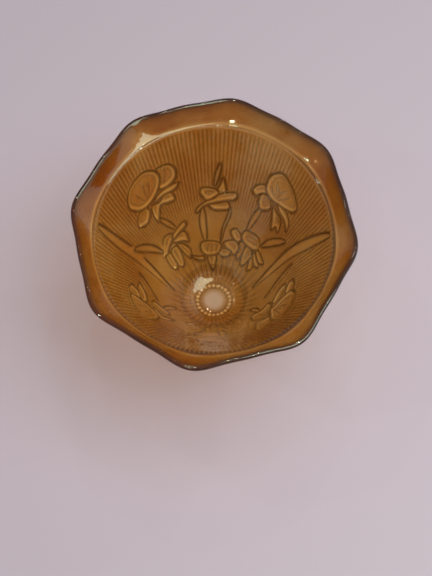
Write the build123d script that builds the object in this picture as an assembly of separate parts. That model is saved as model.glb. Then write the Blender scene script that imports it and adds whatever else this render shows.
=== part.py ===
from build123d import *
import os
from math import cos, hypot, radians, sin, sqrt

# A ruffled bowl of pressed carnival glass with irises in relief on the outside of its wall.
# Millimetres, +Z up. The origin is the middle of the foot, on the surface that the bowl stands on.
# +X is to the right and +Y to the back. All nodes are zones of one pressing and meet face to face.

# ---- driving dimensions ----
GLASS = 4.2             # thickness of the wall and floor
FLOOR_TOP = 9.0         # height of the inside floor
FLOOR_FLAT = 11.0       # radius of its flat middle
TURN_RADIUS = 24.0      # inside radius of the turn from floor to wall
WALL_LOW_SLOPE = 56.0   # degrees from level, where the wall leaves the turn
WALL_HIGH_SLOPE = 62.0  # and where it reaches the crease
CREASE_RADIUS = 100.0   # inside radius of the crease, before the rim is worked
OUT_OF_ROUND = 1.07     # depth over width at the crease, where ruffling pulled the bowl oval

DISC_SLOPE = 12.0       # the clear floor ends at this slope of the turn
FOOT_OUTER = 33.0
FOOT_WALL = 5.0
FOOT_TOP = 13.0         # the foot's height before the floor is cut from it
FOOT_EDGE = 1.2         # rounding of the foot's two edges
BEAD_COUNT = 24
BEAD_RADIUS = 1.6
BEAD_RING = 15.0        # radius of the ring of beads

RUFFLES = 8
RUFFLE_PHASE = -8.8     # azimuth of one ruffle's peak, degrees
RIM_MEAN = 116.2        # mean radius of the rim's edge
RIM_WAVE = 3.3          # how far the ruffles move it in and out
RIM_POINT = 0.22        # share of a second wave that sharpens the peaks
RIM_RISE = 14.5         # mean height of the edge above the crease
RIM_DIP = 1.3           # how much lower the peaks are
RIM_SAG = 1.2           # hollow of the band's inside face
LIP_REACH = 2.4         # how far the rounded lip stands past the band
SECTIONS_PER_RUFFLE = 8

RELIEF = 1.0            # height of a motif's ground above the wall
RELIEF_TOP = 0.8        # height of the petals above that ground
MOTIF_REACH = 12.0      # how far each way a drawing is carried through the wall

# ---- the wall's profile ----
turn_centre = (FLOOR_FLAT, FLOOR_TOP + TURN_RADIUS)


def turn_point(slope, depth=0.0):
    """Radius and height on the turn, depth under its inside face."""
    reach = TURN_RADIUS + depth
    return (turn_centre[0] + reach * sin(radians(slope)), turn_centre[1] - reach * cos(radians(slope)))


wall_foot = turn_point(WALL_LOW_SLOPE)
slope_run = sin(radians(WALL_HIGH_SLOPE)) - sin(radians(WALL_LOW_SLOPE))
wall_arc = (CREASE_RADIUS - wall_foot[0]) / slope_run
wall_centre = (wall_foot[0] - wall_arc * sin(radians(WALL_LOW_SLOPE)),
               wall_foot[1] + wall_arc * cos(radians(WALL_LOW_SLOPE)))
wall_low = wall_foot[1]
wall_top = wall_centre[1] - wall_arc * cos(radians(WALL_HIGH_SLOPE))


def wall_radius(height, depth=0.0):
    """Radius of the wall at a height, depth under its inside face, before it is pulled oval."""
    drop = wall_centre[1] - height
    return wall_centre[0] + sqrt((wall_arc + depth) ** 2 - drop ** 2)


def stretch(height):
    """Half-axis factors across and deep: 1 at the wall's foot and oval at the crease."""
    share = (height - wall_low) / (wall_top - wall_low)
    oval = sqrt(1 + (OUT_OF_ROUND - 1) * min(max(share, 0.0), 1.0))
    return 1 / oval, oval


def wall_form(depth, levels=7):
    """The solid form that the wall encloses, out to depth under its inside face."""
    rings = []
    for level in range(levels):
        height = wall_low + (wall_top - wall_low) * level / (levels - 1)
        across, deep = stretch(height)
        radius = wall_radius(height, depth)
        ring_plane = Plane(origin=(0, 0, height), x_dir=(0, 1, 0), z_dir=(0, 0, 1))
        rings.append(ring_plane * Ellipse(radius * deep, radius * across))
    return loft(rings)


inside_form = wall_form(0)
outside_form = wall_form(GLASS)

# ---- floor, turn and foot ----
disc_edge = turn_point(DISC_SLOPE)
disc_edge_under = turn_point(DISC_SLOPE, GLASS)
floor_under = FLOOR_TOP - GLASS


def turned(outline):
    """The ring or disc that an outline of radius and height makes round the bowl's axis."""
    return revolve(Plane.XZ * make_face(outline), Axis.Z)


def base_disc():
    half = DISC_SLOPE / 2
    top = Polyline((0, floor_under), (0, FLOOR_TOP), (FLOOR_FLAT, FLOOR_TOP))
    rise = ThreePointArc((FLOOR_FLAT, FLOOR_TOP), turn_point(half), disc_edge)
    side = Line(disc_edge, disc_edge_under)
    under = ThreePointArc(disc_edge_under, turn_point(half, GLASS), (FLOOR_FLAT, floor_under))
    return turned([top, rise, side, under, Line((FLOOR_FLAT, floor_under), (0, floor_under))])


def lower_wall():
    under_edge = (wall_radius(wall_low, GLASS), wall_low)
    middle_slope = (DISC_SLOPE + WALL_LOW_SLOPE) / 2
    inside = ThreePointArc(disc_edge, turn_point(middle_slope), wall_foot)
    top = Line(wall_foot, under_edge)
    outside = ThreePointArc(under_edge, turn_point(middle_slope, GLASS), disc_edge_under)
    return turned([inside, top, outside, Line(disc_edge_under, disc_edge)])


def foot_ring(floor_and_turn):
    """The collar that the bowl stands on, from the resting plane up to the underside."""
    inner = FOOT_OUTER - FOOT_WALL
    collar = turned(Polyline((inner, 0), (FOOT_OUTER, 0), (FOOT_OUTER, FOOT_TOP), (inner, FOOT_TOP), close=True))
    collar = fillet(collar.edges().group_by(Axis.Z)[0], FOOT_EDGE)
    return collar - floor_and_turn


def base_beads(floor):
    """A ring of beads, each half sunk in the floor's underside, where the floor is cut from it."""
    reach = TURN_RADIUS + GLASS
    height = turn_centre[1] - sqrt(reach ** 2 - (BEAD_RING - turn_centre[0]) ** 2)
    bead = Pos(BEAD_RING, 0, height) * Sphere(BEAD_RADIUS) - floor
    lower_half = bead.solids().sort_by(Axis.Z)[0]
    return Compound(children=[Rot(0, 0, 360 * turn / BEAD_COUNT) * lower_half for turn in range(BEAD_COUNT)])


# ---- rim ----
def rim_corners(azimuth):
    """Five points of the rim's section: crease inside and under, band edge inside and under, lip tip."""
    ruffle = radians(RUFFLES * (azimuth - RUFFLE_PHASE))
    tip = (RIM_MEAN + RIM_WAVE * (cos(ruffle) + RIM_POINT * cos(2 * ruffle)),
           wall_top + RIM_RISE - RIM_DIP * cos(ruffle))
    crease = (CREASE_RADIUS, wall_top)
    crease_under = (wall_radius(wall_top, GLASS), wall_top)
    length = hypot(tip[0] - crease[0], tip[1] - crease[1])
    out = ((tip[0] - crease[0]) / length, (tip[1] - crease[1]) / length)
    edge = (tip[0] - LIP_REACH * out[0] - GLASS / 2 * out[1], tip[1] - LIP_REACH * out[1] + GLASS / 2 * out[0])
    edge_under = (edge[0] + GLASS * out[1], edge[1] - GLASS * out[0])
    return crease, crease_under, edge, edge_under, tip


def at_azimuth(azimuth, point):
    """A point of a rim section, carried round to its azimuth on the oval crease."""
    across, deep = stretch(wall_top)
    angle = radians(azimuth)
    return (point[0] * across * cos(angle), point[0] * deep * sin(angle), point[1])


def hollow_mid(start, end):
    """The middle of a line of the section, lowered by the band's sag."""
    return ((start[0] + end[0]) / 2, (start[1] + end[1]) / 2 - RIM_SAG)


def band_section(azimuth):
    crease, crease_under, edge, edge_under, _ = rim_corners(azimuth)
    inner_mid = at_azimuth(azimuth, hollow_mid(crease, edge))
    under_mid = at_azimuth(azimuth, hollow_mid(crease_under, edge_under))
    a, b, c, d = (at_azimuth(azimuth, point) for point in (crease, edge, edge_under, crease_under))
    return make_face([ThreePointArc(a, inner_mid, b), Line(b, c), ThreePointArc(c, under_mid, d), Line(d, a)])


def lip_section(azimuth):
    _, _, edge, edge_under, tip = rim_corners(azimuth)
    a, b, c = (at_azimuth(azimuth, point) for point in (edge, tip, edge_under))
    return make_face([ThreePointArc(a, b, c), Line(c, a)])


def rim_ring(section):
    """Half a turn lofted from peak to peak, and the same half turned round to close the ring."""
    steps = RUFFLES * SECTIONS_PER_RUFFLE // 2
    half = loft([section(RUFFLE_PHASE + 180 * step / steps) for step in range(steps + 1)])
    return half + Rot(0, 0, 180) * half


# ---- irises in relief ----
# A motif is drawn flat, in millimetres across and up, as it is seen from inside the bowl.
ground_shell = wall_form(GLASS + RELIEF) - outside_form
petal_shell = wall_form(GLASS + RELIEF + RELIEF_TOP) - wall_form(GLASS + RELIEF)


def wall_plane(azimuth, down):
    """The drawing plane on the outside of the wall, down from the crease along the wall."""
    slope = radians(WALL_HIGH_SLOPE) - down / wall_arc
    height = wall_centre[1] - (wall_arc + GLASS) * cos(slope)
    radius = wall_radius(height, GLASS)
    across, deep = stretch(height)
    angle = radians(azimuth)
    origin = (radius * across * cos(angle), radius * deep * sin(angle), height)
    right = (sin(angle), -cos(angle), 0)
    inward = (-cos(angle) * sin(slope), -sin(angle) * sin(slope), cos(slope))
    return Plane(origin=origin, x_dir=right, z_dir=inward)


def blade(start, end, width):
    """A leaf or petal with two pointed ends."""
    run = (end[0] - start[0], end[1] - start[1])
    length = hypot(*run)
    side = (-run[1] / length * width / 2, run[0] / length * width / 2)
    middle = ((start[0] + end[0]) / 2, (start[1] + end[1]) / 2)
    one = ThreePointArc(start, (middle[0] + side[0], middle[1] + side[1]), end)
    other = ThreePointArc(end, (middle[0] - side[0], middle[1] - side[1]), start)
    return make_face([one, other])


def dome(centre, width, height, tilt=0.0):
    """A round petal."""
    return Pos(*centre) * Rot(0, 0, tilt) * Ellipse(width / 2, height / 2)


def relief(plane, ground, tops):
    """The motif as a solid on the wall: a low ground with raised petals on it."""
    shape = extrude(plane * ground, MOTIF_REACH, both=True) & ground_shell
    for top in tops:
        shape += extrude(plane * top, MOTIF_REACH, both=True) & petal_shell
    return shape


def bloom(plane):
    standard = dome((0, 13), 37, 27, -12)
    side_petal = dome((18, 11), 18, 18, 20)
    falls = [blade((-3, 1), (-27, -9), 11), blade((2, 1), (27, -6), 9), blade((-4, 0), (9, -25), 11)]
    throat = dome((-8, -6), 14, 17, -10)
    ground = standard + side_petal + throat
    for fall in falls:
        ground += fall
    tops = [dome((-7, 13), 17, 20, -12), dome((8, 13), 11, 18, -20), blade((5, -1), (23, -5), 5)]
    tops.append(blade((-1, -5), (7, -21), 6))
    return relief(plane, ground, tops)


def stem(plane):
    return relief(plane, blade((1, 13), (-2, -13), 5.5), [blade((1, 10), (-2, -10), 2.5)])


def bud(plane):
    petals = [dome((-6, 6), 15, 9, -25), blade((-17, -8), (19, 10), 8), blade((4, 3), (9, 20), 8)]
    stalks = [blade((-6, -2), (-6, -36), 6), blade((8, -5), (5, -36), 4)]
    ground = dome((3, -6), 17, 13)
    for outline in petals + stalks:
        ground += outline
    return relief(plane, ground, [dome((-7, 6), 9, 5, -25), blade((-11, -5), (14, 8), 4)])


def low_flower(plane):
    petals = [blade((-5, 1), (-21, -3), 9), blade((4, 1), (22, -5), 9), blade((0, -3), (11, -15), 9)]
    ground = dome((0, 0), 19, 11)
    for outline in petals:
        ground += outline
    return relief(plane, ground, [dome((0, 1), 13, 6), blade((8, 0), (18, -4), 4)])


def sword_leaf(plane):
    return relief(plane, blade((0, 62), (0, -58), 9), [blade((0, 50), (0, -46), 3)])


def short_leaf(plane):
    return relief(plane, blade((0, 15), (0, -15), 6), [blade((0, 11), (0, -11), 2.5)])


# ---- places of the motifs: azimuth in degrees, distance down the wall from the crease, lean in degrees ----
BLOOMS = [(42, 50, 0), (137, 50, 0), (218, 66, 0), (318, 66, 0)]
STEMS = [(52, 78, 0), (146, 78, 0), (229, 94, 0), (329, 94, 0)]
BUDS = [(90, 72, 0), (270, 72, 0)]
LOW_FLOWERS = [(47, 99, 0), (137, 98, 0), (92, 118, 0), (270, 118, 0)]
SWORD_LEAVES = [(178, 68, 0), (3, 68, 0)]
SHORT_LEAVES = [(161, 81, 28), (24, 81, -28), (194, 87, -35), (345, 90, 35)]

if __name__ == "__main__":
    os.makedirs("parts", exist_ok=True)
    nodes = {"base_disc": base_disc(), "lower_wall": lower_wall()}
    nodes["base_beads"] = base_beads(nodes["base_disc"])
    nodes["foot_ring"] = foot_ring(nodes["base_disc"] + nodes["lower_wall"])
    nodes["ribbed_panel"] = outside_form - inside_form
    nodes["rim_band"] = rim_ring(band_section)
    nodes["rim_lip"] = rim_ring(lip_section)
    families = {"iris_bloom": (bloom, BLOOMS), "iris_stem": (stem, STEMS), "iris_bud": (bud, BUDS),
                "low_flower": (low_flower, LOW_FLOWERS), "sword_leaf": (sword_leaf, SWORD_LEAVES),
                "short_leaf": (short_leaf, SHORT_LEAVES)}
    for family, (motif, places) in families.items():
        for number, (azimuth, down, lean) in enumerate(places, start=1):
            plane = wall_plane(azimuth, down).rotated((0, 0, lean))
            nodes[f"{family}_{number}"] = motif(plane)
    for name, shape in nodes.items():
        export_step(shape, f"parts/{name}.step")
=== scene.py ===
from math import cos, pi, radians, sin, sqrt

import bpy
import numpy as np
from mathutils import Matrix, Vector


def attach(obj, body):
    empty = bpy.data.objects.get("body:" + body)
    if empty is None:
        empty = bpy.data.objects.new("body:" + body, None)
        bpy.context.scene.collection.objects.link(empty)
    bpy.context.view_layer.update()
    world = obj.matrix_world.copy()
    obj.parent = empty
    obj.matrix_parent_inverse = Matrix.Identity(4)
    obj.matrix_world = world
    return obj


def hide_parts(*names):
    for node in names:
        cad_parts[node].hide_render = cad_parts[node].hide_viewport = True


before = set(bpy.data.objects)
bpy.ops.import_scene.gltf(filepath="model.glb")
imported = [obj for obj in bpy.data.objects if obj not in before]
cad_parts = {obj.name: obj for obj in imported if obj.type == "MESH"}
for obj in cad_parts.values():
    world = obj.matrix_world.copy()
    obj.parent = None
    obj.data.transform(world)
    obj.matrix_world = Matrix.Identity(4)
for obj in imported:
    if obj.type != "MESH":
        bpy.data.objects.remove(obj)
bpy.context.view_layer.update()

# A ruffled bowl of marigold carnival glass. The glass is one pressing, so one closed mesh stands for
# all its CAD zones but the foot, which is a collar of its own. The inside is smooth, and ribs,
# herringbone and irises stand out on the outside. Shapes are worked out in millimetres and turned
# into metres as each mesh is made.
METRE = 0.001

# ---- the bowl's driving dimensions, as in the CAD model (mm, degrees) ----
GLASS = 4.2
FLOOR_TOP = 9.0
FLOOR_FLAT = 11.0
TURN_RADIUS = 24.0
WALL_LOW_SLOPE = radians(56.0)
WALL_HIGH_SLOPE = radians(62.0)
CREASE_RADIUS = 100.0
OUT_OF_ROUND = 1.07
FOOT_OUTER = 33.0
FOOT_WALL = 5.0
FOOT_EDGE = 1.2
RUFFLES = 8
RUFFLE_PHASE = radians(-8.8)
RIM_MEAN = 115.9            # 0.3 less than in the CAD model, to stay inside its box
RIM_WAVE = 3.3
RIM_POINT = 0.22
RIM_RISE = 14.5
RIM_DIP = 1.3
RIM_SAG = 1.2
LIP_REACH = 2.4
RIDGE = (0.9, 1.3)          # height and half width of the ridge along the crease
BEADS = 24
BEAD_CIRCLE = 15.0
BEAD_RADIUS = 1.6
SUNK = 0.3                  # how far the foot's top is sunk in the bowl's underside

# ---- the pattern's sizes (mm) ----
RIBS = 160
RIB_HEIGHT = 0.6
RIB_START = 8.0             # distance from the crease over which the ribs begin
RIB_FADE = (70.0, 100.0)    # distances down the wall between which they die away
STROKE_HEIGHT = 0.22        # herringbone strokes across the ribs
STROKE_PITCH = 2.3
RAYS = 40                   # fine rays round the floor
RAY_HEIGHT = 0.35
RAY_START = (22.0, 8.0)     # distances up the wall from the turn between which the rays begin
RAY_END = 18.5              # radius of their inner ends under the floor
PETAL_EDGE = 1.2            # rise at a petal's outline
PETAL_CROWN = 1.0           # how much higher its middle is
EDGE_SOFT = 1.0             # distance from the outline over which the edge rises
CROWN_SOFT = 4.0            # distance from the outline over which the crown rises
GROOVE = 0.9                # depth of the fine groove round each petal
GROOVE_WIDTH = 1.3
VEIN = 0.5
VEIN_WIDTH = 0.8
STALK_EDGE = 0.96           # a stalk's rise at its outline, and how much higher its middle is
STALK_CROWN = 0.6
MOTIF_MARGIN = 8.0          # how far a motif's groove can reach past its outline

# ---- where the tint changes, and where shade and highlights are painted into it: amounts from 0 to 1, and places in mm ----
VEIN_SHADE = 0.6             # veins, painted shade in their grooves
VALLEY_SHADE = 0.34          # painted shade in the valleys between the ribs
WEAVE_SHADE = 0.26           # painted shade in the gaps between the herringbone strokes
RAY_GAP_SHADE = 0.3              # painted shade in the gaps between the rays on the wall
RIM_DARK = 0.35             # rim band
LIP_SHADE = 0.8              # painted shade along the edge of the lip, where the tip is 1
INNER_LINE = 0.3            # second line inside each petal's outline
PETAL_PALE = 0.25           # a petal's paler middle, where the painted highlight just inside its outline is 1
STALK_PALE = 0.35
RIB_HIGHLIGHT = 0.6            # painted highlights on the rib crests of the far and near walls, where those of the two sides are 1
SIDE_SHEEN = 0.45            # painted sheen on the two sides, where the low wall's painted light is 1
OUTLINE_WIDTH = GROOVE_WIDTH / 0.85
LOW_WALL_LIGHT = (52.0, 102.0)    # distances down the wall between which painted light turns the glass paler
CREASE_HIGHLIGHT = 1.8           # half width of the painted highlight along the crease
RAY_RING = (27.0, 11.0)     # radius and half width of the ring of painted shade between the rays on the inside
FADE_RADII = (7.0, 12.0)    # the marigold fades to clear glass from the outer of these to the inner

# ---- mesh density ----
SMOOTH_STEPS = 320          # steps round the smooth parts
PATTERN_STEPS = 960         # steps round the patterned wall: a multiple of the smooth steps
PATTERN_ROWS = 236
RIM_ROWS = 9                # across the rim band, inside and under
UNDERSIDE_RADIUS = 22.0     # the pattern on the outside ends here, under the floor
UNDERSIDE_ROW = 0.7         # between rows on the underside

# ---- profile ----
turn_centre = (FLOOR_FLAT, FLOOR_TOP + TURN_RADIUS)
wall_foot = (turn_centre[0] + TURN_RADIUS * sin(WALL_LOW_SLOPE),
             turn_centre[1] - TURN_RADIUS * cos(WALL_LOW_SLOPE))
wall_arc = (CREASE_RADIUS - wall_foot[0]) / (sin(WALL_HIGH_SLOPE) - sin(WALL_LOW_SLOPE))
wall_centre = (wall_foot[0] - wall_arc * sin(WALL_LOW_SLOPE), wall_foot[1] + wall_arc * cos(WALL_LOW_SLOPE))
wall_low = wall_foot[1]
wall_top = wall_centre[1] - wall_arc * cos(WALL_HIGH_SLOPE)
wall_length = wall_arc * (WALL_HIGH_SLOPE - WALL_LOW_SLOPE)


def place(azimuth, radius, height):
    """Points in mm on the oval bowl, from azimuths in radians, round radii and heights."""
    share = np.clip((height - wall_low) / (wall_top - wall_low), 0, 1)
    oval = np.sqrt(1 + (OUT_OF_ROUND - 1) * share)
    return np.stack([radius * np.cos(azimuth) / oval, radius * np.sin(azimuth) * oval,
                     height + 0 * azimuth], -1)


def wall_slope(down):
    """Slope of the wall or the turn, down from the crease."""
    if down <= wall_length:
        return WALL_HIGH_SLOPE - down / wall_arc
    return WALL_LOW_SLOPE - (down - wall_length) / TURN_RADIUS


def wall_row(down, depth):
    """Radius and height on the wall or the turn, down from the crease, depth under the inside face."""
    centre, arc = (wall_centre, wall_arc) if down <= wall_length else (turn_centre, TURN_RADIUS)
    slope = wall_slope(down)
    return centre[0] + (arc + depth) * sin(slope), centre[1] - (arc + depth) * cos(slope)


def underside(radius):
    """Height of the underside of the floor and turn."""
    return turn_centre[1] - sqrt((TURN_RADIUS + GLASS) ** 2 - max(radius - FLOOR_FLAT, 0) ** 2)


def rim_section(azimuth):
    """The crease, the band's edge inside and under, and the directions out along the band and
    under it, as arrays of (radius, height)."""
    ruffle = RUFFLES * (azimuth - RUFFLE_PHASE)
    tip = np.stack([RIM_MEAN + RIM_WAVE * (np.cos(ruffle) + RIM_POINT * np.cos(2 * ruffle)),
                    wall_top + RIM_RISE - RIM_DIP * np.cos(ruffle)], -1)
    crease = np.stack([CREASE_RADIUS + 0 * azimuth, wall_top + 0 * azimuth], -1)
    out = tip - crease
    out = out / np.linalg.norm(out, axis=-1, keepdims=True)
    under = np.stack([out[:, 1], -out[:, 0]], -1)
    edge = tip - LIP_REACH * out - under * GLASS / 2
    return crease, edge, edge + under * GLASS, out, under


def soft_line(distance, width, middle=0.0):
    """1 along a line, dying away on both sides over a width."""
    return np.exp(-((distance - middle) / width) ** 2)


def ramp(value, start, end):
    """0 up to the start, 1 from the end on, and straight between them."""
    return np.clip((value - start) / (end - start), 0, 1)


def wave(azimuths, count):
    """From 1 to 0 and back, a number of times round."""
    return 0.5 + 0.5 * np.cos(count * azimuths)


# ---- the pressed pattern ----
# A motif is drawn as seen from inside the bowl, in millimetres across and up from its middle, which
# is given as an azimuth in degrees and a distance down the wall from the crease. The irises are a
# plain garden iris drawn for this bowl. Petals are listed back to front.
def far_bloom_left():
    petals = [[(16, 20), (22, 22), (29, 20), (33, 13), (31, 5), (22, 1), (14, 4)],
              [(-20, -5), (-13, -1), (-5, -3), (-3, -9), (-9, -15), (-16, -15), (-22, -10)],
              [(1, -6), (10, -8), (16, -4), (23, -5), (26, -14), (18, -14), (10, -12), (5, -18), (0, -24),
               (-2, -15)],
              [(3, -6), (12, -1), (24, 1), (33, 0), (28, -5), (15, -5)],
              [(-19, 12), (-15, 20), (-7, 25), (3, 27), (11, 25), (17, 19), (18, 11), (14, 4), (5, -2),
               (-6, -3), (-14, 2)]]
    veins = [[(0, 1), (1, 8), (2, 15)], [(-2, 2), (-5, 8), (-7, 13)], [(3, 3), (6, 9), (7, 15)],
             [(20, 5), (23, 11), (24, 17)]]
    stalks = [([(2, -22), (8, -31), (16, -42)], 5.5)]
    return petals, veins, stalks


def far_bloom_right():
    petals = [[(-18, 7), (-25, 4), (-29, -3), (-25, -7), (-20, -3), (-15, 1)],
              [(-20, -3), (-14, -1), (-8, -5), (-6, -10), (-10, -15), (-16, -17), (-20, -11)],
              [(-5, -5), (1, -8), (8, -9), (13, -15), (14, -23), (9, -20), (6, -26), (1, -18)],
              [(-3, 0), (6, 1), (14, -1), (20, -6), (22, -13), (14, -8), (5, -6)],
              [(-18, 6), (-18, 16), (-14, 23), (-8, 27), (2, 24), (10, 19), (17, 13), (16, 6), (8, 1),
               (0, -1), (-8, -2), (-15, 1)]]
    veins = [[(-7, 1), (-8, 8), (-10, 15)], [(-5, 1), (-3, 9), (0, 15)], [(-3, 1), (2, 7), (5, 11)],
             [(-9, 2), (-13, 8)], [(-4, 6), (-7, 12)]]
    stalks = [([(-15, -16), (-18, -28), (-21, -43)], 6.5)]
    return petals, veins, stalks


def near_bloom_left():
    petals = [[(12, 20), (18, 19), (22, 12), (18, 5), (10, 4), (11, 12)],
              [(7, 3), (15, 4), (23, 2), (27, -3), (18, -8), (9, -5)],
              [(1, -11), (8, -12), (11, -19), (4, -27), (-4, -33), (-8, -28), (-4, -20)],
              [(-11, -4), (-4, -6), (2, -10), (-2, -13), (-9, -14), (-12, -21), (-17, -29), (-16, -15)],
              [(-14, 10), (-13, 22), (-7, 27), (2, 26), (12, 21), (11, 12), (7, 4), (2, -4), (-6, -7),
               (-12, -2)]]
    veins = [[(-2, -3), (-4, 6), (-5, 14)], [(0, -2), (1, 7), (2, 16)], [(1, 0), (5, 8), (7, 14)],
             [(-4, 2), (-8, 9)]]
    return petals, veins, [([(2, -28), (6, -42), (8, -54)], 6)]


def near_bloom_right():
    petals = [[(-27, 12), (-33, 11), (-38, 4), (-34, -2), (-26, -1), (-24, 5)],
              [(-37, -6), (-28, -4), (-20, -9), (-17, -17), (-26, -18), (-34, -14)],
              [(4, 14), (12, 16), (19, 13), (20, 4), (15, -8), (10, -15), (4, -8), (1, -2)],
              [(-15, -15), (-6, -12), (3, -14), (7, -23), (6, -33), (-2, -41), (-10, -31), (-19, -26)],
              [(-27, 8), (-23, 18), (-15, 25), (-5, 28), (2, 24), (5, 16), (4, 6), (-1, -4), (-8, -12),
               (-16, -8), (-23, -2)]]
    veins = [[(-11, -8), (-12, 2), (-12, 12)], [(-9, -8), (-6, 3), (-3, 12)],
             [(-12, -6), (-18, 3), (-20, 10)], [(-10, -4), (-9, 6)], [(-2, -20), (-3, -30)]]
    return petals, veins, [([(-8, -34), (-12, -44), (-14, -54)], 6)]


def bud():
    petals = [[(-3, 5), (6, 6), (14, 8), (17, 2), (11, -1), (2, -1)],
              [(4, 15), (7, 24), (9, 31), (12, 22), (12, 15)],
              [(-9, 17), (-7, 21), (-2, 21), (4, 19), (7, 15), (3, 11), (-3, 8), (-7, 12)],
              [(-15, -1), (-12, 3), (-4, 8), (2, 10), (8, 15), (18, 18), (22, 17), (20, 11), (12, 8),
               (2, 5), (-6, 3), (-12, -2)]]
    veins = [[(-5, 14), (-2, 17), (2, 16)]]
    stalks = [([(-8, 1), (-9, -16), (-8, -33)], 7), ([(17, 3), (17, -5), (13, -20), (11, -33)], 3),
              ([(3, 22), (5, 33), (7, 44)], 3.5)]
    return petals, veins, stalks


def low_flower_left():
    petals = [[(-12, -5), (-6, -6), (-5, -14), (-8, -25), (-14, -19)],
              [(5, -5), (12, -9), (17, -18), (14, -26), (8, -17)],
              [(-4, -6), (4, -6), (6, -15), (2, -28), (-4, -25), (-5, -14)],
              [(2, 0), (8, 2), (14, 4), (18, 0), (18, -9), (12, -6), (6, -4)],
              [(-11, 1), (-6, 7), (-3, 10), (3, 9), (7, 5), (2, 1), (-4, -3), (-9, -6), (-14, -3)],
              [(5, 5), (12, 9), (19, 12), (20, 7), (12, 3), (5, 1)]]
    veins = [[(-4, 1), (0, 5), (3, 6)], [(0, -9), (0, -22)], [(-9, -9), (-10, -19)], [(9, -10), (13, -20)]]
    return petals, veins, []


def low_flower_right():
    petals = [[(-17, -8), (-11, -9), (-10, -16), (-13, -27), (-19, -19)],
              [(0, -10), (6, -14), (10, -23), (6, -29), (1, -20)],
              [(-10, -10), (-2, -10), (1, -17), (-3, -29), (-9, -26)],
              [(-18, -3), (-24, 2), (-29, -2), (-26, -8), (-21, -11), (-17, -8)],
              [(0, -8), (8, -10), (16, -16), (10, -19), (3, -15)],
              [(3, -3), (9, -5), (18, -8), (12, -13), (3, -9)],
              [(-18, -2), (-16, 4), (-10, 6), (-3, 6), (2, 3), (4, -3), (0, -8), (-8, -9), (-15, -7)]]
    veins = [[(-14, -2), (-9, 0), (-4, 2)], [(-12, -5), (-6, -3), (0, -1)], [(-14, -12), (-15, -21)],
             [(-5, -13), (-5, -24)]]
    return petals, veins, []


def floor_flower():
    petals = [[(10, 4), (19, 10), (25, 5), (23, -4), (17, -2)],
              [(-5, -9), (4, -9), (4, -16), (1, -23), (-4, -18)],
              [(-23, -3), (-16, -7), (-9, -9), (-9, -13), (-17, -11)],
              [(8, -1), (15, -1), (19, -3), (17, -8), (11, -10), (7, -7)],
              [(-11, 2), (-8, 6), (0, 6), (7, 4), (9, 0), (7, -6), (2, -9), (-5, -9), (-10, -5)]]
    veins = [[(-5, -6), (-4, 1)], [(0, -6), (0, 2)], [(4, -6), (4, 1)]]
    return petals, veins, []


def leaf(*points, width):
    """A leaf is drawn as a stalk of its own, which tapers at both ends."""
    return [], [], [(list(points), width)]


MOTIFS = [(137, 48, far_bloom_left()), (42, 50, far_bloom_right()), (214, 70, near_bloom_left()),
          (318, 70, near_bloom_right()), (92, 80, bud()), (270, 84, bud()), (137, 98, low_flower_left()),
          (42, 98, low_flower_right()), (92, 118, floor_flower()), (270, 120, floor_flower()),
          (180, 70, leaf((8, 62), (9, 30), (11, 0), (9, -30), (4, -58), width=9)),
          (2, 70, leaf((0, 62), (-6, 30), (-11, 0), (-11, -30), (-8, -58), width=9)),
          (137, 98, leaf((-29, 34), (-20, 18), (-12, 1), width=6)),
          (42, 98, leaf((19, 28), (11, 14), (5, 2), width=6)),
          (180, 70, leaf((-4, -4), (-12, -15), (-27, -26), width=5)),
          (2, 70, leaf((0, 2), (9, -20), (22, -36), width=5))]


def smooth_line(points, closed, step=8):
    """A Catmull-Rom curve through the points of an outline."""
    p = np.array(points, float)
    if closed:
        p = np.vstack([p[-1:], p, p[:2]])
    else:
        p = np.vstack([2 * p[:1] - p[1:2], p, 2 * p[-1:] - p[-2:-1]])
    t = np.linspace(0, 1, step, endpoint=False)[:, None]
    parts = []
    for a, b, c, d in zip(p, p[1:], p[2:], p[3:]):
        parts.append(0.5 * (2 * b + (c - a) * t + (2 * a - 5 * b + 4 * c - d) * t ** 2
                            + (3 * b - a - 3 * c + d) * t ** 3))
    line = np.vstack(parts)
    return line if closed else np.vstack([line, p[-2:-1]])


def distance_to(line, x, y, closed):
    """Distance from grid points to a polyline, the share along it, and whether each point is inside."""
    ends = np.roll(line, -1, axis=0) if closed else line[1:]
    starts = line if closed else line[:-1]
    best = np.full(x.shape, 1e9)
    along = np.zeros(x.shape)
    inside = np.zeros(x.shape, bool)
    for number, (a, b) in enumerate(zip(starts, ends)):
        run = b - a
        square = max(run @ run, 1e-9)
        t = np.clip(((x - a[0]) * run[0] + (y - a[1]) * run[1]) / square, 0, 1)
        far = np.hypot(x - a[0] - t * run[0], y - a[1] - t * run[1])
        nearer = far < best
        best = np.where(nearer, far, best)
        along = np.where(nearer, (number + t) / len(starts), along)
        if closed:
            crosses = (a[1] > y) != (b[1] > y)
            reach = a[0] + (y - a[1]) * run[0] / (run[1] if abs(run[1]) > 1e-9 else 1e-9)
            inside ^= crosses & (x < reach)
    return best, along, inside


def press_stalk(h, flat, dark, pale, line, width, x, y):
    """Presses one tapered stalk or leaf into a motif's window of the four fields."""
    far, along, _ = distance_to(smooth_line(line, False), x, y, False)
    half = width / 2 * np.sqrt(np.clip(np.sin(pi * np.clip(along * 0.94 + 0.03, 0, 1)), 0, 1))
    inner = far < half
    groove = soft_line(far, GROOVE_WIDTH, half)
    crown = STALK_EDGE + STALK_CROWN * np.sqrt(np.clip(1 - (far / np.maximum(half, 0.1)) ** 2, 0, 1))
    h = np.where(inner, crown, h - GROOVE * groove * (far < half + 3))
    flat = np.where(far < half + GROOVE_WIDTH, 0, flat)
    # painted shade in the groove along the stalk's edges
    dark = np.where(far < half + 4, groove, dark)
    return h, flat, dark, np.where(inner, STALK_PALE, pale)


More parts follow.
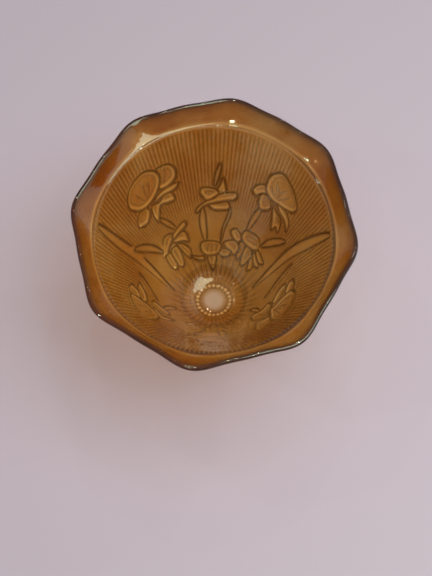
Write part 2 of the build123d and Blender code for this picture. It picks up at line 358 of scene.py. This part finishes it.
def press_petal(h, flat, dark, pale, outline, x, y):
    """Presses one petal into a motif's window of the four fields."""
    far, _, inside = distance_to(smooth_line(outline, True), x, y, True)
    falling = np.exp(-far / EDGE_SOFT)
    crown = PETAL_EDGE * (1 - falling) + PETAL_CROWN * (1 - np.exp(-far / CROWN_SOFT))
    h = np.where(inside, crown - GROOVE * falling, h - GROOVE * soft_line(far, GROOVE_WIDTH))
    flat = np.where(inside | (far < GROOVE_WIDTH), 0, flat)
    # painted shade in the groove round the outline, and a second dark line inside it
    edge = soft_line(far, OUTLINE_WIDTH)
    inner_line = INNER_LINE * soft_line(far, 0.8, 4.5)
    dark = np.where(inside, np.maximum(edge, inner_line), np.maximum(dark, edge))
    # a painted highlight just inside the outline, over a paler middle
    rim_light = PETAL_PALE + (1 - PETAL_PALE) * soft_line(far, 1.1, 2.0)
    return h, flat, dark, np.where(inside, rim_light, pale)


def press_motif(fields, azimuth_deg, down_mid, drawing, azimuths, downs):
    """Presses one motif into the fields: height, where the ribs show, dark lines with painted shade in the
    grooves, and pale marks with painted highlights.
    """
    petals, veins, stalks = drawing
    turn = (np.degrees(azimuths) - azimuth_deg + 180) % 360 - 180
    across = -np.radians(turn) * wall_row(down_mid, GLASS)[0]
    up = down_mid - downs
    points = np.vstack([np.array(p, float) for p in petals + veins + [s[0] for s in stalks]])
    (left, bottom), (right, top) = points.min(axis=0) - MOTIF_MARGIN, points.max(axis=0) + MOTIF_MARGIN
    columns = np.flatnonzero((across > left) & (across < right))
    rows = np.flatnonzero((up > bottom) & (up < top))
    window = np.ix_(rows, columns)
    x, y = np.meshgrid(across[columns], up[rows])
    h, flat, dark, pale = (field[window] for field in fields)
    for line, width in stalks:
        h, flat, dark, pale = press_stalk(h, flat, dark, pale, line, width, x, y)
    for outline in petals:
        h, flat, dark, pale = press_petal(h, flat, dark, pale, outline, x, y)
    # each vein is a groove with painted shade in it
    for line in veins:
        cut = soft_line(distance_to(smooth_line(line, False), x, y, False)[0], VEIN_WIDTH)
        h = h - VEIN * cut
        dark = np.maximum(dark, VEIN_SHADE * cut)
    for field, values in zip(fields, (h, flat, dark, pale)):
        field[window] = values


def pattern(azimuths, downs):
    """The pattern on a grid of rows down and steps round: height in mm, the dark lines, with painted shade in
    grooves and gaps, and the pale marks, with painted highlights.
    """
    grid = (len(downs), len(azimuths))
    fields = np.zeros(grid), np.ones(grid), np.zeros(grid), np.zeros(grid)
    for azimuth_deg, down_mid, drawing in MOTIFS:
        press_motif(fields, azimuth_deg, down_mid, drawing, azimuths, downs)
    height, plain, line, petal = fields
    down = downs[:, None]
    shown = ramp(down, RIB_FADE[1], RIB_FADE[0]) * ramp(down, 0, RIB_START)
    low = ramp(down, wall_length - RAY_START[0], wall_length - RAY_START[1])
    rib, ray = wave(azimuths, RIBS), wave(azimuths, RAYS)
    off_rib = np.abs((RIBS * azimuths / (2 * pi)) % 1 - 0.5) * 2 * pi * CREASE_RADIUS / RIBS
    stroke = np.cos(2 * pi * (down + 2 * off_rib) / STROKE_PITCH)
    relief = (RIB_HEIGHT * rib + STROKE_HEIGHT * stroke) * shown + RAY_HEIGHT * ray ** 2 * low
    # painted shade in the valleys between the ribs, the gaps between the strokes and the gaps between the
    # rays
    valley = (1 - rib) ** 2 * shown
    weave = (0.5 - 0.5 * stroke) * shown
    line = np.maximum(line, (VALLEY_SHADE * valley + WEAVE_SHADE * weave) * plain)
    line = np.maximum(line, RAY_GAP_SHADE * low * (1 - ray) ** 2)
    # painted highlights on the rib crests, stronger on the two sides
    crest = rib ** 2 * (0.5 + 0.5 * stroke)
    rib_highlight_share = RIB_HIGHLIGHT + (1 - RIB_HIGHLIGHT) * np.cos(azimuths) ** 2
    petal = np.maximum(petal, rib_highlight_share * crest * shown * plain)
    # a painted highlight along the crease
    petal = np.maximum(petal, soft_line(down, CREASE_HIGHLIGHT))
    return height + relief * plain, line, petal


# ---- the bowl's mesh ----
coarse = np.arange(SMOOTH_STEPS) * 2 * pi / SMOOTH_STEPS
fine = np.arange(PATTERN_STEPS) * 2 * pi / PATTERN_STEPS
INSIDE, OUTSIDE, UNDERSIDE = range(3)      # material slots


class Skin:
    """Rings of points from the middle of the floor, up, over the lip and under, with their tints and their
    painted shade and highlights.
    """

    def __init__(self):
        self.rings = []
        self.slots = []
        self.tints = {"line": [], "petal": [], "fade": [], "lip": [], "crest": [], "low": []}

    def add(self, slot, azimuths, radius, height, **tint):
        self.rings.append(place(azimuths, radius + 0 * azimuths, height + 0 * azimuths))
        self.slots.append(slot)
        tint["fade"] = ramp(np.max(radius), FADE_RADII[1], FADE_RADII[0])
        for name, values in self.tints.items():
            values.append(tint.get(name, 0) + 0 * azimuths)


def add_inside(skin):
    """The floor, the turn and the wall, up to the crease."""
    for radius in (4.0, 8.0):
        skin.add(INSIDE, coarse, radius, FLOOR_TOP)
    turn_length = TURN_RADIUS * WALL_LOW_SLOPE
    for down in np.concatenate([np.linspace(wall_length + turn_length, wall_length, 12, endpoint=False),
                                np.linspace(wall_length, 4, 40, endpoint=False), np.linspace(4, 0, 6)]):
        ridge = soft_line(down, RIDGE[1])
        radius, height = wall_row(down, -RIDGE[0] * ridge)
        # the ridge along the crease gets a painted highlight, and the floor a ring of painted shade between
        # the rays
        skin.add(INSIDE, coarse, radius, height, crest=ridge,
                 line=soft_line(radius, RAY_RING[1], RAY_RING[0]) * (1 - wave(coarse, RAYS)) ** 2)


def add_rim(skin):
    """The rim band's inside, the round lip, and the band's underside back to the crease."""
    crease, edge, edge_under, out, under = rim_section(coarse)
    crease_under = np.array([wall_row(0, GLASS)] * SMOOTH_STEPS)
    for step in range(1, RIM_ROWS):
        t = (step / RIM_ROWS) ** 1.6
        row = crease + (edge - crease) * t
        ridge = soft_line(np.linalg.norm(row - crease, axis=-1), RIDGE[1])
        # the ridge gets a painted highlight, the band a darker tint, and painted shade towards the lip
        skin.add(INSIDE, coarse, row[:, 0], row[:, 1] - RIM_SAG * 4 * t * (1 - t) + RIDGE[0] * ridge,
                 lip=LIP_SHADE * t ** 5, line=RIM_DARK, crest=ridge)
    middle = (edge + edge_under) / 2
    for turn in np.linspace(-pi / 2, pi / 2, 11):
        row = middle + out * LIP_REACH * cos(turn) + under * GLASS / 2 * sin(turn)
        # painted shade round the lip
        skin.add(INSIDE if turn < 0.01 else OUTSIDE, coarse, row[:, 0], row[:, 1],
                 lip=LIP_SHADE + (1 - LIP_SHADE) * cos(turn))
    for step in range(1, RIM_ROWS):
        t = 1 - step / RIM_ROWS
        row = crease_under + (edge_under - crease_under) * t
        # a painted highlight along the crease under the band
        skin.add(OUTSIDE, coarse, row[:, 0], row[:, 1] - RIM_SAG * 4 * t * (1 - t),
                 petal=soft_line(np.linalg.norm(row - crease_under, axis=-1), CREASE_HIGHLIGHT))


def add_outside(skin):
    """The patterned wall, from the crease down and in under the floor."""
    downs = np.linspace(0, wall_length + 14, PATTERN_ROWS)
    # painted sheen, stronger towards the two sides
    sides = SIDE_SHEEN * np.cos(fine) ** 4
    for down, raised, line, petal in zip(downs, *pattern(fine, downs)):
        radius, height = wall_row(down, GLASS)
        if radius < UNDERSIDE_RADIUS:
            break
        slope = wall_slope(down)
        # the low mark is painted light on the low wall and painted sheen on the sides
        skin.add(OUTSIDE, fine, radius + raised * sin(slope), height - raised * cos(slope), line=line,
                 petal=petal, low=np.maximum(ramp(down, *LOW_WALL_LIGHT), sides))


def add_underside(skin):
    """The rays and the ring of beads under the floor, with painted shade round the beads and between the
    rays, and a painted highlight on each bead.
    """
    off_bead = np.abs((coarse * BEADS / (2 * pi) + 0.5) % 1 - 0.5) * 2 * pi / BEADS * BEAD_CIRCLE
    for radius in np.arange(UNDERSIDE_RADIUS - UNDERSIDE_ROW, 1.5, -UNDERSIDE_ROW):
        ball = np.sqrt(np.clip(BEAD_RADIUS ** 2 - (radius - BEAD_CIRCLE) ** 2 - off_bead ** 2, 0, None))
        # painted shade in the gaps, and a painted highlight on each bead's top
        gap = np.clip(1 - ball, 0, 1) * (abs(radius - BEAD_CIRCLE) < 2 * BEAD_RADIUS)
        rays = 0.5 * (1 - wave(coarse, RAYS)) ** 2 * (radius > RAY_END)
        skin.add(UNDERSIDE, coarse, radius, underside(radius) - ball, line=0.8 * gap + rays,
                 petal=np.clip(ball, 0, 1))


def strip_faces(one, two, a, b):
    """Faces between a ring of one points numbered from a, and a ring of two points numbered from b."""
    few = min(one, two)
    ratio = max(one, two) // few
    if ratio == 1:
        i = np.arange(few)
        j = (i + 1) % few
        return np.stack([a + i, b + i, b + j, a + j], -1).tolist()
    faces = []
    for i in range(few):
        j = (i + 1) % few
        fan = [(ratio * i + step) % (ratio * few) for step in range(ratio + 1)]
        if one < two:
            faces.append([a + i] + [b + f for f in fan] + [a + j])
        else:
            faces.append([b + i, b + j] + [a + f for f in reversed(fan)])
    return faces


def new_mesh(name, points, faces):
    mesh = bpy.data.meshes.new(name)
    mesh.from_pydata((points * METRE).tolist(), [], faces)
    mesh.validate()
    mesh.update()
    mesh.polygons.foreach_set("use_smooth", np.ones(len(mesh.polygons), bool))
    return mesh


def bowl_mesh():
    """The closed glass, with a material slot for each face and a point attribute for each tint, painted shade
    and painted light.
    """
    skin = Skin()
    for add_part in (add_inside, add_rim, add_outside, add_underside):
        add_part(skin)
    points = [np.array([[0, 0, FLOOR_TOP]])] + skin.rings + [np.array([[0, 0, FLOOR_TOP - GLASS]])]
    starts = np.cumsum([0] + [len(ring) for ring in points])
    faces = [(0, 1 + i, 1 + (i + 1) % SMOOTH_STEPS) for i in range(SMOOTH_STEPS)]
    slots = [INSIDE] * SMOOTH_STEPS
    for one, two, a, b, slot in zip(skin.rings, skin.rings[1:], starts[1:], starts[2:], skin.slots):
        strip = strip_faces(len(one), len(two), a, b)
        faces += strip
        slots += [slot] * len(strip)
    last_ring, last_point = starts[-3], starts[-2]
    faces += [(last_point, last_ring + (i + 1) % SMOOTH_STEPS, last_ring + i) for i in range(SMOOTH_STEPS)]
    slots += [UNDERSIDE] * SMOOTH_STEPS
    mesh = new_mesh("bowl_glass", np.vstack(points), faces)
    mesh.polygons.foreach_set("material_index", np.array(slots, np.int32))
    for name, values in skin.tints.items():
        ends = [float(name == "fade")]
        layer = mesh.attributes.new(name, "FLOAT", "POINT")
        layer.data.foreach_set("value", np.concatenate([ends] + values + [ends]).astype(np.float32))
    return mesh


def foot_mesh():
    """The collar under the bowl: an outline of radius and height, carried round."""
    inner = FOOT_OUTER - FOOT_WALL
    outer_top, inner_top = underside(FOOT_OUTER) + SUNK, underside(inner) + SUNK
    outline = [(FOOT_OUTER, height) for height in np.linspace(outer_top, FOOT_EDGE, 5, endpoint=False)]
    quarter = np.linspace(0, pi / 2, 5)
    for middle, side, turns in ((FOOT_OUTER - FOOT_EDGE, 1, quarter), (inner + FOOT_EDGE, -1, quarter[::-1])):
        outline += [(middle + side * FOOT_EDGE * cos(turn), FOOT_EDGE * (1 - sin(turn))) for turn in turns]
    outline += [(inner, height) for height in np.linspace(FOOT_EDGE, inner_top, 6)[1:]]
    outline += [(radius, underside(radius) + SUNK) for radius in np.linspace(inner + 1, FOOT_OUTER - 1, 5)]
    rings = [place(coarse, radius + 0 * coarse, height + 0 * coarse) for radius, height in outline]
    starts = SMOOTH_STEPS * np.arange(len(rings))
    faces = []
    for a, b in zip(starts, np.roll(starts, -1)):
        faces += strip_faces(SMOOTH_STEPS, SMOOTH_STEPS, a, b)
    return new_mesh("foot_ring_glass", np.vstack(rings), faces)


# ---- materials ----
def new_material(name):
    material = bpy.data.materials.new(name)
    material.use_nodes = True
    material.node_tree.nodes.clear()
    return material, material.node_tree.nodes, material.node_tree.links


def noise(nodes, links, coordinates, dimensions="3D", **inputs):
    texture = nodes.new("ShaderNodeTexNoise")
    texture.noise_dimensions = dimensions
    for name, value in inputs.items():
        texture.inputs[name].default_value = value
    links.new(coordinates, texture.inputs["Vector"])
    return texture.outputs["Fac"]


def colour_ramp(nodes, links, factor, colours):
    """A ramp through (position, colour) pairs: the lowest, the highest, and then those between."""
    tint = nodes.new("ShaderNodeValToRGB")
    for element, (position, colour) in zip(tint.color_ramp.elements, colours):
        element.position = position
        element.color = (*colour, 1)
    for position, colour in colours[2:]:
        tint.color_ramp.elements.new(position).color = (*colour, 1)
    links.new(factor, tint.inputs["Fac"])
    return tint.outputs["Color"]


def blend_colour(nodes, links, factor, first, second, amount):
    """A colour that goes from the first, a socket, towards the second by a mesh attribute."""
    attribute = nodes.new("ShaderNodeAttribute")
    attribute.attribute_name = factor
    scale = nodes.new("ShaderNodeMath")
    scale.operation = "MULTIPLY"
    scale.inputs[1].default_value = amount
    links.new(attribute.outputs["Fac"], scale.inputs[0])
    mix = nodes.new("ShaderNodeMix")
    mix.data_type = "RGBA"
    links.new(scale.outputs[0], mix.inputs["Factor"])
    links.new(first, mix.inputs["A"])
    mix.inputs["B"].default_value = (*second, 1)
    return mix.outputs["Result"]


def glass_material(name, colours, marks, shadow, rough, through, waves, film=0.0):
    """Pressed glass. The tint drifts in soft patches between the colours, and each mark blends it
    towards a colour by a mesh attribute; apart from the clear middle and the darker rim band, the marks
    paint shade and highlights into the colour. Shadows let tinted light through. The waves in the surface
    and the thin film of lustre are in mm and nm."""
    material, nodes, links = new_material(name)
    glass = nodes.new("ShaderNodeBsdfPrincipled")
    glass.inputs["Transmission Weight"].default_value = through
    glass.inputs["IOR"].default_value = 1.5
    glass.inputs["Roughness"].default_value = rough
    if film:
        glass.inputs["Thin Film Thickness"].default_value = film
        glass.inputs["Thin Film IOR"].default_value = 1.6
    coordinates = nodes.new("ShaderNodeTexCoord").outputs["Object"]
    drift = noise(nodes, links, coordinates, "4D", W=2.0, Scale=15.0, Detail=7.0, Roughness=0.68)
    colour = colour_ramp(nodes, links, drift, colours)
    for factor, target, amount in marks:
        colour = blend_colour(nodes, links, factor, colour, target, amount)
    links.new(colour, glass.inputs["Base Color"])
    bump = nodes.new("ShaderNodeBump")
    bump.inputs["Strength"].default_value = 1.0
    bump.inputs["Distance"].default_value = waves * METRE
    links.new(noise(nodes, links, coordinates, Scale=75.0, Detail=2.0), bump.inputs["Height"])
    links.new(bump.outputs["Normal"], glass.inputs["Normal"])
    clear = nodes.new("ShaderNodeBsdfTransparent")
    clear.inputs["Color"].default_value = (*shadow, 1)
    mix = nodes.new("ShaderNodeMixShader")
    links.new(nodes.new("ShaderNodeLightPath").outputs["Is Shadow Ray"], mix.inputs["Fac"])
    links.new(glass.outputs["BSDF"], mix.inputs[1])
    links.new(clear.outputs["BSDF"], mix.inputs[2])
    links.new(mix.outputs["Shader"], nodes.new("ShaderNodeOutputMaterial").inputs["Surface"])
    return material


lustre = glass_material(
    "marigold_lustre",                                      # the inside faces
    [(0.38, (0.64, 0.29, 0.04)), (0.62, (0.78, 0.56, 0.22)), (0.5, (0.70, 0.41, 0.09))],
    # the crease ridge's mark is a painted highlight, the line marks are a darker rim band and painted shade
    # between the rays, and the lip mark is painted shade
    [("crest", (1.0, 0.82, 0.40), 0.9), ("line", (0.34, 0.17, 0.04), 0.6),
     ("fade", (0.78, 0.68, 0.53), 1.0), ("lip", (0.09, 0.025, 0.02), 1.0)],
    shadow=(0.82, 0.75, 0.68), rough=0.03, through=0.975, waves=0.6, film=250.0)
pressed = glass_material(
    "marigold_glass",                                       # the outside faces, with the pattern
    [(0.38, (0.27, 0.058, 0.002)), (0.62, (0.48, 0.22, 0.03)), (0.5, (0.36, 0.115, 0.006))],
    # the low mark is painted light and sheen, the petal mark paler petals and painted highlights, the line
    # mark painted shade in grooves and gaps, and the lip mark painted shade
    [("low", (0.56, 0.34, 0.09), 0.8), ("petal", (0.95, 0.64, 0.22), 0.75),
     ("line", (0.085, 0.020, 0.003), 0.97), ("fade", (0.66, 0.55, 0.41), 1.0),
     ("lip", (0.07, 0.02, 0.015), 1.0)],
    shadow=(0.50, 0.42, 0.35), rough=0.08, through=0.58, waves=0.3)
beaded = glass_material(
    "marigold_foot",                                        # the underside, with the ring of beads
    [(0.38, (0.38, 0.22, 0.04)), (0.62, (0.56, 0.37, 0.11)), (0.5, (0.46, 0.29, 0.06))],
    # the line mark is painted shade round the beads and between the rays, and the petal mark a painted
    # highlight on each bead
    [("line", (0.22, 0.09, 0.02), 0.9), ("fade", (0.70, 0.60, 0.46), 1.0), ("petal", (1.0, 0.92, 0.74), 0.9)],
    shadow=(0.50, 0.42, 0.35), rough=0.15, through=0.6, waves=0.3)
collar = glass_material(
    "clear_collar",                                         # the foot
    [(0.38, (0.62, 0.40, 0.16)), (0.62, (0.78, 0.58, 0.30)), (0.5, (0.70, 0.48, 0.22))], [],
    shadow=(0.70, 0.62, 0.52), rough=0.1, through=0.8, waves=0.3)


# ---- the two pieces ----
def new_piece(name, mesh, *materials):
    piece = bpy.data.objects.new(name, mesh)
    bpy.context.scene.collection.objects.link(piece)
    for material in materials:
        mesh.materials.append(material)
    return piece


bowl = new_piece("bowl_glass", bowl_mesh(), lustre, pressed, beaded)
foot_ring = new_piece("foot_glass", foot_mesh(), collar)
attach(foot_ring, "root")
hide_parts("foot_ring")
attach(bowl, "root")
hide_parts(*sorted(set(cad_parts) - {"foot_ring"}))


# ---- stage ----
def floor_plane():
    bpy.ops.mesh.primitive_plane_add(size=4.0, location=(0, 0, 0))
    floor = bpy.context.object
    floor.name = "floor"
    material, nodes, links = new_material("pale_floor")
    paint = nodes.new("ShaderNodeBsdfPrincipled")
    paint.inputs["Base Color"].default_value = (0.60, 0.53, 0.60, 1)
    paint.inputs["Roughness"].default_value = 0.5
    links.new(paint.outputs["BSDF"], nodes.new("ShaderNodeOutputMaterial").inputs["Surface"])
    floor.data.materials.append(material)


def area_light(name, position, size, power, colour):
    """A rectangular light of a size in metres and a power in watts, aimed at the middle of the bowl."""
    data = bpy.data.lights.new(name, "AREA")
    data.shape = "RECTANGLE"
    data.size, data.size_y = size
    data.energy = power
    data.color = colour
    light = bpy.data.objects.new(name, data)
    bpy.context.scene.collection.objects.link(light)
    light.location = position
    aim = Vector((0, 0, 0.08)) - light.location
    light.rotation_euler = aim.to_track_quat("-Z", "Y").to_euler()


floor_plane()
area_light("key", (0.7, -0.2, 1.6), (1.2, 1.2), 16.0, (1.0, 0.98, 0.96))
area_light("side", (1.9, 0.2, 0.8), (2.4, 1.4), 4.5, (0.93, 1.0, 0.90))
# small lamps round the bowl, for points of light on the glass
LAMPS = [(-0.7, 0.5, 1.5), (0.5, -0.5, 1.7), (0.05, 0.9, 1.6), (-0.3, -0.7, 1.5), (0.9, 0.8, 1.2),
         (-0.1, 0.25, 1.9), (0.3, 0.5, 1.8), (-0.9, -0.2, 1.1)]
for number, spot in enumerate(LAMPS, start=1):
    area_light("lamp_%d" % number, spot, (0.04, 0.04), 0.9, (1.0, 0.96, 0.92))
world = bpy.data.worlds.new("studio")
world.use_nodes = True
world.node_tree.nodes["Background"].inputs["Color"].default_value = (0.80, 0.77, 0.76, 1)
world.node_tree.nodes["Background"].inputs["Strength"].default_value = 0.30
bpy.context.scene.world = world
bpy.context.scene.view_settings.view_transform = "Standard"

# ---- camera: above the near side, looking down into the bowl ----
LOOK_DOWN = radians(25.2)       # between the view's axis and straight down
LOOK_DISTANCE = 0.9525
mouth = Vector((0.002, -0.048, wall_top * METRE))
camera = bpy.data.objects.new("camera", bpy.data.cameras.new("camera"))
camera.data.lens = 75
camera.rotation_euler = (LOOK_DOWN, 0, 0)
camera.location = mouth + LOOK_DISTANCE * Vector((0, -sin(LOOK_DOWN), cos(LOOK_DOWN)))
bpy.context.scene.collection.objects.link(camera)
bpy.context.scene.camera = camera
